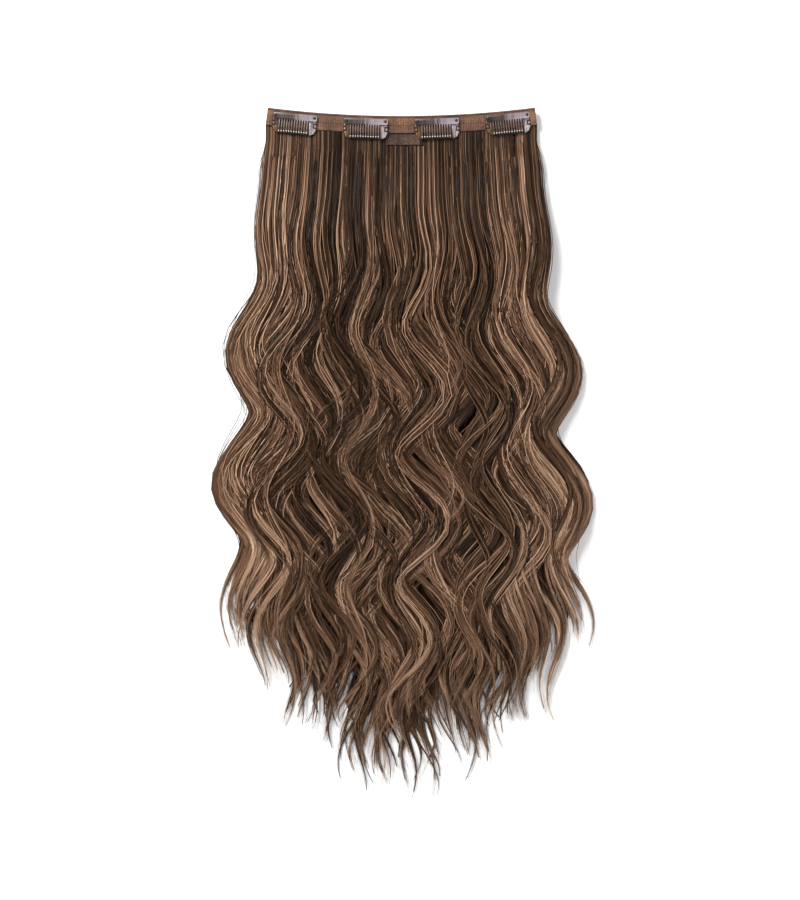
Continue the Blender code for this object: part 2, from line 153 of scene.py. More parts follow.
UPPER_LOCKS = (
    (-0.90, -1.08, -1.08, 0.74, 0.36, 1.1, 1.0, 0.05),
    (-0.70, -0.90, -0.88, 0.80, 0.24, 1.4, 1.0, 0.9),
    (-0.50, -0.66, -0.66, 0.85, 0.30, 1.3, 1.0, 0.0),
    (-0.30, -0.42, -0.44, 0.89, 0.40, 1.2, 1.1, 1.0),
    (-0.10, -0.12, -0.20, 0.92, 0.46, 1.3, 1.0, 0.12),
    (0.10, 0.12, 0.08, 0.93, 0.56, 1.3, 1.0, 0.85),
    (0.30, 0.38, 0.36, 0.92, 0.68, 1.2, 1.1, 0.08),
    (0.50, 0.66, 0.64, 0.88, 0.48, 1.3, 1.0, 0.95),
    (0.70, 0.90, 0.92, 0.83, 0.56, 1.2, 1.0, 0.15),
    (0.90, 1.08, 1.12, 0.75, 0.70, 1.1, 1.0, 0.8),
)
# A weft's name, its locks, the wisps in each, the hairs in each wisp, and the share on top
WEFTS = (
    ("lower", LOWER_LOCKS, 12, 10, 0.5),
    ("upper", UPPER_LOCKS, 15, 10, 0.8),
)


# Paths of the hair


def smooth(share):
    share = np.clip(share, 0, 1)
    return share * share * (3 - 2 * share)


def blend(low, high, share):
    return low + (high - low) * share


def arc_point(along, above, height=0.0):
    """A point along the tape's arc, above the middle of the heads, and above the surface."""
    angle = along / ARC_RADIUS
    reach = ARC_RADIUS - above
    return Vector((reach * math.sin(angle), ARC_RADIUS - reach * math.cos(angle), height))


def arc_rise(x):
    return ARC_RADIUS - np.sqrt(ARC_RADIUS**2 - np.clip(x, -HALF_CHORD, HALF_CHORD) ** 2)


def below_heads(x, y):
    return arc_rise(x) - HEAD_HEIGHT / 2 - y


def outward(root):
    """How far out a lock lies: 0 for the inner ones, rising to 1 for the outermost."""
    return smooth((np.abs(root) - 0.6) / 0.3)


def wave_angle(down, phase):
    return 2 * math.pi * (WAVE_COUNT * down + WAVE_TIGHTENING * down * down + phase)


def lock_line(lock, down, phase, swing):
    """Where a hair with its own phase and swing runs in a lock, before it is set to one side."""
    above_belly = blend(lock["root"], lock["belly"], smooth(down / BELLY))
    below = (down - BELLY) / max(lock["reach"] - BELLY, 0.01)
    share = np.where(down < BELLY, above_belly, blend(lock["belly"], lock["tip"], smooth(below)))
    reach = WAVE_SWING * swing * smooth((down - WAVE_START) / (WAVE_FULL - WAVE_START))
    x = share * HAIR_WIDTH / 2 + reach * np.sin(wave_angle(down, phase))
    root_y = arc_rise(np.float64(lock["root"] * HAIR_WIDTH / 2)) - HEAD_HEIGHT / 2
    return x, root_y - down * HAIR_LENGTH


def fullness(x, y):
    """The share of a layer's full depth that the hair has at a place."""
    below = below_heads(x, y)
    tips = blend(1, TIP_FULLNESS, smooth((below - THINNING_FROM) / THINNING_RUN))
    sides = blend(1, SIDE_FULLNESS, smooth((np.abs(x) - SIDE_FROM) / SIDE_RUN))
    return smooth(below / FILLING_OUT) * tips * sides


def lock_half_width(lock, down, locks_across):
    at_root = 0.66 * HAIR_WIDTH / locks_across
    at_belly = 0.72 * HAIR_WIDTH / locks_across * lock["girth"]
    width = blend(at_root, at_belly, smooth(down / BELLY))
    return width * (1 - 0.4 * smooth((down / lock["reach"] - 0.75) / 0.25))


def tuck_in(x, y):
    """The hair starts as wide as the tape and widens below it."""
    down = below_heads(x, y) / HAIR_LENGTH
    x = x * blend(0.985, 1, smooth(down / 0.05))
    past_end = np.maximum(np.abs(x) - HALF_CHORD + 1.5 * MM, 0)
    return x - np.sign(x) * past_end * 0.9 * (1 - smooth(down / 0.04))


def lay_hairs(lock, layer, locks_across, hairs):
    """Points along each hair of a lock, one row for each hair. A hair's place is a side
    from -1 to 1 and a height from 0 to 1 in the lock's section, the same all along it."""
    at_root = hairs["side"] * lock_half_width(lock, 0.0, locks_across)
    root_x = tuck_in(lock["root"] * HAIR_WIDTH / 2 + at_root, np.full(len(at_root), 0.0))
    loose = ROOT_LOOSENESS * (hairs["turn"] - 0.5)
    bare = (root_x > BARE_STRIP[0] + loose) & (root_x < BARE_STRIP[1] + loose)
    start = np.where(bare, 0.001, hairs["start"])[:, None]
    steps = np.linspace(0, 1, HAIR_STEPS + 1)
    steps = 1.4 * steps - 0.4 * steps**2  # closer together towards the tip
    down = start + (hairs["reach"][:, None] - start) * steps
    along = np.clip(down, 0, None)
    phase = hairs["phase"][:, None] + hairs["drift"][:, None] * along
    ending = smooth((along / hairs["reach"][:, None] - 0.7) / 0.3)
    swing = hairs["swing"][:, None] * (1 - 0.5 * ending)
    x, y = lock_line(lock, along, phase, swing)
    # A place a little further on gives each hair's direction
    ahead_x, ahead_y = lock_line(lock, along + 0.004, phase, swing)
    run_x, run_y = ahead_x - x, ahead_y - y
    length = np.hypot(run_x, run_y)
    gather = 1 - 0.55 * smooth((along / hairs["reach"][:, None] - 0.3) / 0.7)
    side = hairs["side"][:, None] + hairs["beside"][:, None] * gather
    half = lock_half_width(lock, along, locks_across)
    stray = hairs["stray"][:, None] * smooth(along / 0.5)
    stray = stray * np.sin(2 * math.pi * (along * hairs["bend"][:, None] + hairs["turn"][:, None]))
    x = x - run_y / length * (side * half + stray) + hairs["curl"][:, None] * ending
    y = y + run_x / length * (side * half + stray) - np.clip(down, None, 0) * HAIR_LENGTH
    # From its own head's underside, a layer lifts and deepens as it fills out
    full = fullness(x, y)
    low = blend(layer * HEAD_STEP + 0.15 * HEAD_THICKNESS, layer * LAYER_STEP, full)
    depth = blend(0.7 * HEAD_THICKNESS, LAYER_DEPTH, full)
    taper = 1 - smooth((along / lock["reach"] - 0.7) / 0.3)
    thick = np.maximum(1 * MM, depth * (0.75 * taper + 0.1))
    low = low + lock["lift"] * np.maximum(0, depth - thick) * full
    x = tuck_in(x, y)
    side = np.clip(side, -1.1, 1.1)
    height = hairs["height"][:, None] + hairs["above"][:, None] * gather
    ripple = 0.12 * full * (1 + np.sin(wave_angle(along, phase) + 1.3))
    share = 0.35 * side**2 + (1 - 0.5 * side**2) * np.clip(height + ripple, 0.0, 1.4)
    z = low + thick * share + GAP
    # The lower weft's top hairs, and all of the upper's, pass over the heads
    over_head = HEADS_TOP + (0.25 + 0.6 * np.clip(height - 0.8, 0, 0.35)) * MM
    over_head = over_head * (1 - smooth((full - 0.1 - 0.4 * hairs["turn"][:, None]) / 0.3))
    z = np.where(hairs["height"][:, None] > 0.8 - layer, np.maximum(z, over_head), z)
    z = np.maximum(z, LOWEST_HAIR)
    return np.stack([x, y, z], axis=-1), np.clip(along, 0, None)


def spread_out(rng, count):
    """Values from -1 to 1, evenly spread and in no order."""
    places = (np.arange(count) + rng.uniform(0.1, 0.9, count)) / count
    return rng.permutation(2 * places - 1)


def one_wisp_each(rng, count, lock, top_share):
    """Wisps of a lock, each with its place, waves and reach. The first few keep to its path."""
    on_top = np.arange(count) < round(top_share * count)  # the others lie near the underside
    height = np.where(on_top, rng.uniform(0.86, 1.12, count), rng.uniform(0.0, 0.3, count))
    side = spread_out(rng, count) * 0.95
    side[:KEPT_WISPS] = np.linspace(-0.62, 0.62, KEPT_WISPS)
    height[:KEPT_WISPS] = 0.86
    free = np.where(np.arange(count) < KEPT_WISPS, 0.0, 1 - outward(lock["root"]))
    return {
        "root": np.full(count, lock["root"]),
        "side": side,
        "height": height,
        "reach": lock["reach"] * (1.015 - 0.07 * rng.random(count) ** 1.5),
        "curl": rng.normal(0, 8, count) * MM,
        "phase": lock["phase"] + rng.normal(0, 0.1) * free + rng.normal(0, 0.04, count),
        "drift": rng.normal(0, 0.12) * free + rng.normal(0, 0.03 + 0.06 * free),
        "swing": lock["swing"]
        * np.clip(rng.normal(1.0 + 0.1 * free, 0.1 + 0.16 * free), 0.4, 1.7),
        "tone": spread_out(rng, count) * 0.5 + 0.5,
    }


def hairs_of(rng, wisps, hairs_each):
    """Hairs that run with each wisp and gather to its tip."""
    hairs = {name: np.repeat(values, hairs_each) for name, values in wisps.items()}
    count = len(hairs["side"])
    hairs["beside"] = rng.normal(0, 0.12, count)
    hairs["above"] = rng.normal(0, 0.06, count)
    hairs["reach"] = hairs["reach"] * rng.uniform(0.965, 1.005, count)
    hairs["phase"] = hairs["phase"] + rng.normal(0, 0.008, count)
    band = np.sin(22 * hairs["beside"] + 6.3 * hairs["tone"])
    tone = 0.6 * hairs["tone"] + 0.22 * (1 + band) + rng.normal(0, 0.07, count)
    outer = 0.15 * outward(hairs["root"])
    # Hairs below the top are coloured at half tone: painted shade under the top hairs
    hairs["tone"] = np.clip(tone, 0, 1) * np.where(hairs["height"] > ON_TOP, 1, 0.5) + outer
    hairs["stray"] = np.clip(rng.normal(0, 1, count) ** 3 * (0.7 + 3 * outer), -9, 9) * MM
    hairs["bend"] = rng.uniform(1, 3, count)
    hairs["turn"] = rng.uniform(0, 1, count)
    hairs["start"] = np.where(hairs["height"] > ON_TOP, -0.022, -0.006)
    return hairs


def placed(name, data):
    """A new object in the scene."""
    made = bpy.data.objects.new(name, data)
    bpy.context.scene.collection.objects.link(made)
    return made


def store(mesh, name, values):
    """Keep a value at each point of a mesh."""
    layer = mesh.attributes.new(name, "FLOAT", "POINT")
    layer.data.foreach_set("value", np.ascontiguousarray(values, np.float32).ravel())


def as_lines(name, points, downs, tones, width):
    """A mesh of open lines with a width, a tone and a share of the length at each point."""
    count, stations = points.shape[:2]
    mesh = bpy.data.meshes.new(name)
    starts = np.arange(count)[:, None] * stations + np.arange(stations - 1)[None, :]
    edges = np.stack([starts, starts + 1], axis=-1).reshape(-1, 2)
    mesh.from_pydata(points.reshape(-1, 3).tolist(), edges.tolist(), [])
    store(mesh, "width", width)
    store(mesh, "tone", np.broadcast_to(tones, downs.shape))
    store(mesh, "share", downs)
    return placed(name, mesh)


# Node trees


def new_tree(name, inputs):
    """A geometry tree with named inputs, and its group input and output nodes."""
    tree = bpy.data.node_groups.new(name, "GeometryNodeTree")
    tree.interface.new_socket("Geometry", in_out="INPUT", socket_type="NodeSocketGeometry")
    for label, kind, value in inputs:
        socket = tree.interface.new_socket(label, in_out="INPUT", socket_type=kind)
        if value is not None:
            socket.default_value = value
    tree.interface.new_socket("Geometry", in_out="OUTPUT", socket_type="NodeSocketGeometry")
    return tree, tree.nodes.new("NodeGroupInput"), tree.nodes.new("NodeGroupOutput")


def node(tree, kind, inputs=(), **settings):
    """A node with its settings, each input given as a value or as a socket to link from."""
    made = tree.nodes.new(kind)
    for name, value in settings.items():
        setattr(made, name, value)
    for name, value in dict(inputs).items():
        if isinstance(value, bpy.types.NodeSocket):
            tree.links.new(value, made.inputs[name])
        else:
            made.inputs[name].default_value = value
    return made


def with_modifiers(made):
    """An object's mesh as its modifiers leave it. They are then removed."""
    depsgraph = bpy.context.evaluated_depsgraph_get()
    mesh = bpy.data.meshes.new_from_object(made.evaluated_get(depsgraph))
    made.modifiers.clear()
    return mesh


def run_tree(made, tree, values):
    """Run a tree on an object and keep the result as its plain mesh."""
    modifier = made.modifiers.new("Nodes", "NODES")
    modifier.node_group = tree
    for item in tree.interface.items_tree:
        if item.in_out == "INPUT" and item.name in values:
            modifier[item.identifier] = values[item.name]
    mesh = with_modifiers(made)
    old = made.data
    made.data = mesh
    mesh.name = made.name
    bpy.data.meshes.remove(old)
    return made


def lines_to_tubes():
    """Tubes along a mesh's lines. Flatness squeezes their section, lying flat."""
    tree, given, result = new_tree(
        "lines_to_tubes",
        (
            ("Sides", "NodeSocketInt", 3),
            ("Flatness", "NodeSocketFloat", 1.0),
            ("Finish", "NodeSocketMaterial", None),
        ),
    )
    lines = node(tree, "GeometryNodeMeshToCurve", {"Mesh": given.outputs["Geometry"]})
    level = node(tree, "GeometryNodeSetCurveNormal", {"Curve": lines.outputs[0]}, mode="Z_UP")
    width = node(tree, "GeometryNodeInputNamedAttribute", {"Name": "width"}, data_type="FLOAT")
    ring = node(
        tree,
        "GeometryNodeCurvePrimitiveCircle",
        {"Resolution": given.outputs["Sides"], "Radius": 1.0},
        mode="RADIUS",
    )
    squeeze = node(
        tree, "ShaderNodeCombineXYZ", {"X": 1.0, "Y": given.outputs["Flatness"], "Z": 1.0}
    )
    section = node(
        tree,
        "GeometryNodeTransform",
        {"Geometry": ring.outputs[0], "Scale": squeeze.outputs[0]},
    )
    place = node(tree, "GeometryNodeInputPosition")
    across = node(tree, "ShaderNodeSeparateXYZ", {"Vector": place.outputs[0]})
    marked = node(
        tree,
        "GeometryNodeStoreNamedAttribute",
        {"Geometry": section.outputs[0], "Name": "across", "Value": across.outputs["X"]},
        data_type="FLOAT",
        domain="POINT",
    )
    tubes = node(
        tree,
        "GeometryNodeCurveToMesh",
        {
            "Curve": level.outputs[0],
            "Profile Curve": marked.outputs[0],
            "Scale": width.outputs["Attribute"],
            "Fill Caps": True,
        },
    )
    soft = node(tree, "GeometryNodeSetShadeSmooth", {"Geometry": tubes.outputs[0]})
    whole = node(tree, "GeometryNodeRealizeInstances", {"Geometry": soft.outputs[0]})
    finished = node(
        tree,
        "GeometryNodeSetMaterial",
        {"Geometry": whole.outputs[0], "Material": given.outputs["Finish"]},
    )
    tree.links.new(finished.outputs[0], result.inputs[0])
    return tree


def points_to_beads():
    """A small bead on each point of a mesh."""
    tree, given, result = new_tree(
        "points_to_beads",
        (("Size", "NodeSocketVector", (0, 0, 0)), ("Finish", "NodeSocketMaterial", None)),
    )
    bead = node(tree, "GeometryNodeMeshUVSphere", {"Segments": 12, "Rings": 8, "Radius": 1.0})
    spread = node(
        tree,
        "GeometryNodeInstanceOnPoints",
        {
            "Points": given.outputs["Geometry"],
            "Instance": bead.outputs["Mesh"],
            "Scale": given.outputs["Size"],
        },
    )
    whole = node(tree, "GeometryNodeRealizeInstances", {"Geometry": spread.outputs[0]})
    soft = node(tree, "GeometryNodeSetShadeSmooth", {"Geometry": whole.outputs[0]})
    finished = node(
        tree,
        "GeometryNodeSetMaterial",
        {"Geometry": soft.outputs[0], "Material": given.outputs["Finish"]},
    )
    tree.links.new(finished.outputs[0], result.inputs[0])
    return tree


# Finishes


def new_finish(name, **constants):
    """A material, its node tree and its shader, with the shader's constants set."""
    material = bpy.data.materials.new(name)
    material.use_nodes = True
    tree = material.node_tree
    shader = tree.nodes["Principled BSDF"]
    for socket, value in constants.items():
        shader.inputs[socket.replace("_", " ")].default_value = value
    return material, tree, shader


def ramp(tree, factor, stops):
    """A colour ramp from a socket, with stops of a place and a colour."""
    made = tree.nodes.new("ShaderNodeValToRGB")
    tree.links.new(factor, made.inputs["Fac"])
    elements = made.color_ramp.elements
    while len(elements) < len(stops):
        elements.new(0.5)
    for element, (place, colour) in zip(elements, stops):
        element.position = place
        element.color = (*colour, 1)
    return made.outputs["Color"]


def attribute(tree, name):
    return node(tree, "ShaderNodeAttribute", attribute_name=name).outputs["Fac"]


def math_node(tree, operation, *values):
    return node(tree, "ShaderNodeMath", dict(enumerate(values)), operation=operation).outputs[0]


def mix_colours(tree, factor, first, second):
    inputs = {"Factor": factor, 6: first, 7: second}
    return node(tree, "ShaderNodeMix", inputs, data_type="RGBA").outputs[2]


def noise(tree, scale, detail=2.0):
    """Noise in the piece's own place, stretched by a scale in each direction."""
    place = node(tree, "ShaderNodeTexCoord").outputs["Object"]
    stretched = node(tree, "ShaderNodeMapping", {"Vector": place, "Scale": scale}).outputs[0]
    return node(
        tree, "ShaderNodeTexNoise", {"Vector": stretched, "Scale": 1.0, "Detail": detail}
    ).outputs["Fac"]


def colour_and_bump(tree, shader, colour, height, strength, distance):
    tree.links.new(colour, shader.inputs["Base Color"])
    inputs = {"Height": height, "Strength": strength, "Distance": distance}
    bump = node(tree, "ShaderNodeBump", inputs)
    tree.links.new(bump.outputs[0], shader.inputs["Normal"])


def hair_finish(name, strands_across):
    """Brown hair, in streaks that follow the strands."""
    material, tree, shader = new_finish(
        name, Roughness=0.42, Specular_IOR_Level=0.2, Specular_Tint=(1, 0.8, 0.64, 1)
    )
    tone, share, across = (attribute(tree, mark) for mark in ("tone", "share", "across"))
    grid = node(
        tree,
        "ShaderNodeCombineXYZ",
        {
            "X": math_node(tree, "MULTIPLY", across, strands_across),
            "Y": math_node(tree, "MULTIPLY", share, 9.0),
            "Z": math_node(tree, "MULTIPLY", tone, 14.0),
        },
    ).outputs[0]
    streaks = node(
        tree, "ShaderNodeTexNoise", {"Vector": grid, "Scale": 1.0, "Detail": 2.0, "Roughness": 0.6}
    ).outputs["Fac"]
    mixed = math_node(tree, "MULTIPLY", streaks, 0.5)
    mixed = math_node(tree, "MULTIPLY_ADD", tone, 0.5, mixed)
    mixed = math_node(tree, "MULTIPLY_ADD", share, 0.06, mixed)
    colour = ramp(
        tree,
        mixed,
        (
            (0.28, (0.004, 0.002, 0.001)),
            (0.42, (0.013, 0.006, 0.003)),
            (0.55, (0.064, 0.031, 0.016)),
            (0.68, (0.235, 0.128, 0.076)),
            (0.85, (0.58, 0.38, 0.25)),
        ),
    )
    colour_and_bump(tree, shader, colour, streaks, 0.5, 0.4 * MM)
    return material


def core_finish():
    """The inner hair, painted dark as the shade deep between the locks, lighter towards the tips,
    and streaked along its fall.
    """
    material, tree, shader = new_finish("inner_hair", Roughness=0.6, Specular_IOR_Level=0.1)
    streaks = noise(tree, (1400, 30, 300), 3.0)
    # Painted shade: the inner hair is coloured far darker than the strands over it
    painted_deep_shade = ramp(
        tree,
        streaks,
        ((0.3, (0.004, 0.002, 0.001)), (0.5, (0.017, 0.009, 0.006)), (0.75, (0.06, 0.034, 0.021))),
    )
    tips = ramp(
        tree,
        streaks,
        ((0.3, (0.03, 0.016, 0.01)), (0.5, (0.075, 0.04, 0.024)), (0.75, (0.17, 0.095, 0.06))),
    )
    place = node(tree, "ShaderNodeTexCoord").outputs["Object"]
    down = node(tree, "ShaderNodeSeparateXYZ", {"Vector": place}).outputs["Y"]
    colour = mix_colours(tree, math_node(tree, "MULTIPLY_ADD", down, -9.0, -2.7), painted_deep_shade, tips)
    colour_and_bump(tree, shader, colour, streaks, 0.6, 0.5 * MM)
    return material


def cloth_finish(name, dark, mid, light):
    """Ribbed tape: coloured threads with fine fibres."""
    material, tree, shader = new_finish(name, Roughness=0.85, Sheen_Weight=0.03)
    threads = noise(tree, (2600, 900, 900), 3.0)
    patches = noise(tree, (120, 120, 120))
    mixed = math_node(tree, "MULTIPLY", threads, 0.6)
    mixed = math_node(tree, "MULTIPLY_ADD", patches, 0.4, mixed)
    colour = ramp(tree, mixed, ((0.35, dark), (0.5, mid), (0.68, light)))
    colour_and_bump(tree, shader, colour, threads, 0.6, 0.2 * MM)
    return material


def steel_finish(name, stops, coat, low_stops=None):
    """Lacquered steel whose colour changes along a clip, in fine streaks: painted reflection
    together with wear. Low stops are its colours along the clip's lower part."""
    material, tree, shader = new_finish(name, Metallic=0.4, Coat_Weight=coat, Coat_Roughness=0.2)
    streaks = noise(tree, (900, 60, 300), 3.0)
    along = attribute(tree, "along")
    shifted = math_node(tree, "MULTIPLY_ADD", streaks, 0.5, -0.25)
    mixed = math_node(tree, "ADD", along, shifted)
    colour = ramp(tree, mixed, stops)
    if low_stops:
        below = math_node(tree, "MULTIPLY_ADD", attribute(tree, "drop"), 6.0, -1.9)
        colour = mix_colours(tree, below, colour, ramp(tree, mixed, low_stops))
    rough = math_node(tree, "MULTIPLY_ADD", streaks, 0.3, 0.26)
    tree.links.new(rough, shader.inputs["Roughness"])
    colour_and_bump(tree, shader, colour, streaks, 0.12, 0.2 * MM)
    return material


def rubber_finish():
    material, tree, shader = new_finish("sleeve_rubber", Specular_IOR_Level=0.4)
    grain = noise(tree, (2500, 2500, 2500))
    colour = ramp(tree, grain, ((0.3, (0.006, 0.004, 0.004)), (0.7, (0.02, 0.014, 0.012))))
    tree.links.new(colour, shader.inputs["Base Color"])
    tree.links.new(math_node(tree, "MULTIPLY_ADD", grain, 0.3, 0.3), shader.inputs["Roughness"])
    return material


# Hair pieces


def merged_copy(name, source, material):
    """A copy of a CAD node's mesh with its corners merged."""
    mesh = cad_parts[source].data.copy()
    bm = bmesh.new()
    bm.from_mesh(mesh)
    bmesh.ops.remove_doubles(bm, verts=bm.verts, dist=1e-6)
    bm.to_mesh(mesh)
    bm.free()
    mesh.materials.clear()
    mesh.materials.append(material)
    return placed(name, mesh)


def sink(core, layer):
    """Draw the inner hair in below the strands that lie over and under it."""
    points = np.empty(len(core.data.vertices) * 3, np.float32)
    core.data.vertices.foreach_get("co", points)
    points = points.reshape(-1, 3)
    full = fullness(points[:, 0], points[:, 1])
    down = below_heads(points[:, 0], points[:, 1]) / HAIR_LENGTH
    drawn_in = tuck_in(points[:, 0], points[:, 1]) * blend(0.935, 0.967, full)
    points[:, 0] = blend(drawn_in, points[:, 0], smooth(-down / 0.02))
    middle = layer * LAYER_STEP + 0.45 * LAYER_DEPTH
    points[:, 2] += (middle - points[:, 2]) * 0.35 * full
    points[:, 1] += 0.05 * HAIR_LENGTH * smooth((down - 0.5) / 0.5)
    core.data.vertices.foreach_set("co", points.ravel())
    core.data.update()


def shaded(hairs, downs, tip_gain):
    """Tone along each hair: darker just below the tape, as painted shade, and lighter towards the
    tip.
    """
    share = downs / hairs["reach"][:, None]
    # Painted shade: tone taken off the hair just below the tape
    root = 0.11 * (1 - smooth(downs / 0.2))
    return hairs["tone"][:, None] + tip_gain * smooth((share - 0.65) / 0.35) - root


def tapered(width, downs, reach, rng):
    """A hair's radius: full along most of it and fine at the tip."""
    share = downs / reach[:, None]
    own = width * rng.uniform(0.7, 1.3, len(reach))[:, None]
    return own * (1 - 0.75 * smooth((share - 0.78) / 0.22))


def add_hair(tubes):
    strand_finish = hair_finish("hair_strands", 1.0)
    wisp_finish = hair_finish("hair_wisps", 3.5)
    inner = core_finish()
    for layer, (weft, rows, wisps_each, hairs_each, top_share) in enumerate(WEFTS):
        rng = np.random.default_rng(HAIR_SEED + layer)
        core = merged_copy(f"{weft}_inner_hair", f"weft_{weft}", inner)
        sink(core, layer)
        core.data.shade_smooth()
        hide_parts(f"weft_{weft}")
        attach(core, "weft")
        laid = {"wisps": [], "strands": []}
        for row in rows:
            lock = dict(zip(LOCK_COLUMNS, row))
            wisps = one_wisp_each(rng, wisps_each, lock, top_share)
            hairs = hairs_of(rng, wisps, hairs_each)
            points, downs = lay_hairs(lock, layer, len(rows), hairs)
            width = tapered(HAIR_RADIUS, downs, hairs["reach"], rng)
            # Hairs below the top gain more tone towards the tip, so the painted shade on them
            # fades at their ends
            at_tip = np.where(hairs["height"] > ON_TOP, 0.12, 0.34)[:, None]
            laid["strands"].append((points, downs, shaded(hairs, downs, at_tip), width))
            # Each wisp is also laid as one broad, plain ribbon below its hairs, at a darker tone:
            # painted shade beneath them, less in the outer locks
            quiet = hairs_of(rng, wisps, 1)
            quiet.update({name: 0 * quiet[name] for name in ("beside", "above", "stray")})
            quiet["height"] = quiet["height"] - 0.18
            quiet["tone"] = quiet["tone"] * blend(0.5, 0.9, outward(lock["root"]))
            points, downs = lay_hairs(lock, layer, len(rows), quiet)
            points[..., 2] = np.maximum(points[..., 2], LOWEST_WISP)
            width = tapered(WISP_RADIUS, downs, quiet["reach"], rng)
            width[:KEPT_WISPS] = width[:KEPT_WISPS] * 1.5
            width = width * blend(0.4, 1, smooth(downs / 0.35))
            width = width * (1 - 0.6 * smooth((downs / quiet["reach"][:, None] - 0.88) / 0.12))
            laid["wisps"].append((points, downs, shaded(quiet, downs, 0.36), width))
        for kind, sides, flatness, finish in (
            ("wisps", 6, 0.25, wisp_finish),
            ("strands", 3, 1.0, strand_finish),
        ):
            columns = [np.concatenate(part) for part in zip(*laid[kind])]
            most = MOST_TRIANGLES // ((HAIR_STEPS * 2 + 1) * sides)
            for number, first in enumerate(range(0, len(columns[0]), most)):
                own = (column[first : first + most] for column in columns)
                piece = as_lines(f"{weft}_{kind}_{number + 1}", *own)
                values = {"Sides": sides, "Flatness": flatness, "Finish": finish}
                run_tree(piece, tubes, values)
                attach(piece, "weft")


# Tape and clips


def add_mesh(name, points, faces, material, smooth_faces=True):
    mesh = bpy.data.meshes.new(name)
    mesh.from_pydata([tuple(p) for p in points], [], faces)
    mesh.materials.append(material)
    if smooth_faces:
        mesh.shade_smooth()
        mesh.set_sharp_from_angle(angle=math.radians(55))
    return placed(name, mesh)


def ring_faces(rings, corners, closed):
    """Faces between rings of as many corners each, in a closed chain or with capped ends."""
    count = rings if closed else rings - 1
    faces = []
    for ring in range(count):
        ahead = (ring + 1) % rings
        for corner in range(corners):
            beside = (corner + 1) % corners
            faces.append(
                (
                    ring * corners + corner,
                    ring * corners + beside,
                    ahead * corners + beside,
                    ahead * corners + corner,
                )
            )
    if not closed:
        faces.append(tuple(reversed(range(corners))))
        faces.append(tuple((rings - 1) * corners + corner for corner in range(corners)))
    return faces


def rounded_bar(name, ends, edges, low, high, material, columns):
    """A strip along the arc with a rounded section, closed at its ends."""
    soft = (high - low) * 0.45
    middle = ((edges[0] + edges[1]) / 2, (low + high) / 2)
    half = ((edges[1] - edges[0]) / 2, (high - low) / 2)
    section = []
    for corner, (right, up) in enumerate(((1, -1), (1, 1), (-1, 1), (-1, -1))):
        for step in range(4):
            turn = math.pi / 2 * (corner - 1 + step / 3)
            above = middle[0] + right * (half[0] - soft) + soft * math.cos(turn)
            height = middle[1] + up * (half[1] - soft) + soft * math.sin(turn)
            section.append((above, height))
    points = []
    for column in range(columns + 1):
        along = blend(ends[0], ends[1], column / columns)
        points += [arc_point(along, above, height) for above, height in section]
    faces = ring_faces(columns + 1, len(section), False)
    return add_mesh(name, points, faces, material)


def put_lines(name, lines, width, sides, flatness, material, tubes, wave=0.0):
    """Tubes along lines of as many points each, with a width that may swell and fall."""
    points = np.array([[tuple(p) for p in line] for line in lines])
    downs = np.broadcast_to(np.linspace(0, 1, points.shape[1]), points.shape[:2])
    tones = (np.linspace(0, 1, len(lines)) * 7.3 % 1)[:, None]
    widths = width * (1 + wave * np.sin(np.arange(points.shape[1]) * 2.1))
    made = as_lines(name, points, downs, tones, np.broadcast_to(widths, downs.shape))
    run_tree(made, tubes, {"Sides": sides, "Flatness": flatness, "Finish": material})
    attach(made, "weft")
    return made


def rib_lines(ends, rows, height, pitch=RIB_PITCH):
    """Upright ribs side by side. A row runs from one place above the heads to another."""
    count = round((ends[1] - ends[0]) / pitch)
    lines = []
    for number in range(count):
        along = ends[0] + (number + 0.5) * (ends[1] - ends[0]) / count
        for low, high in rows:
            aboves = [blend(low, high, step / 3) for step in range(4)]
            lines.append([arc_point(along, above, height) for above in aboves])
    return lines


def stitch_lines(ends, above, height, pitch):
    """A line of short stitches along the arc."""
    count = round((ends[1] - ends[0]) / pitch)
    lines = []
    for number in range(count):
        start = ends[0] + (number + 0.12) * (ends[1] - ends[0]) / count
        stitch = 0.76 * pitch
        line = []
        for step in range(5):
            dip = 0.12 * MM * (step / 2 - 1) ** 2
            line.append(arc_point(start + step / 4 * stitch, above, height - dip))
        lines.append(line)
    return lines


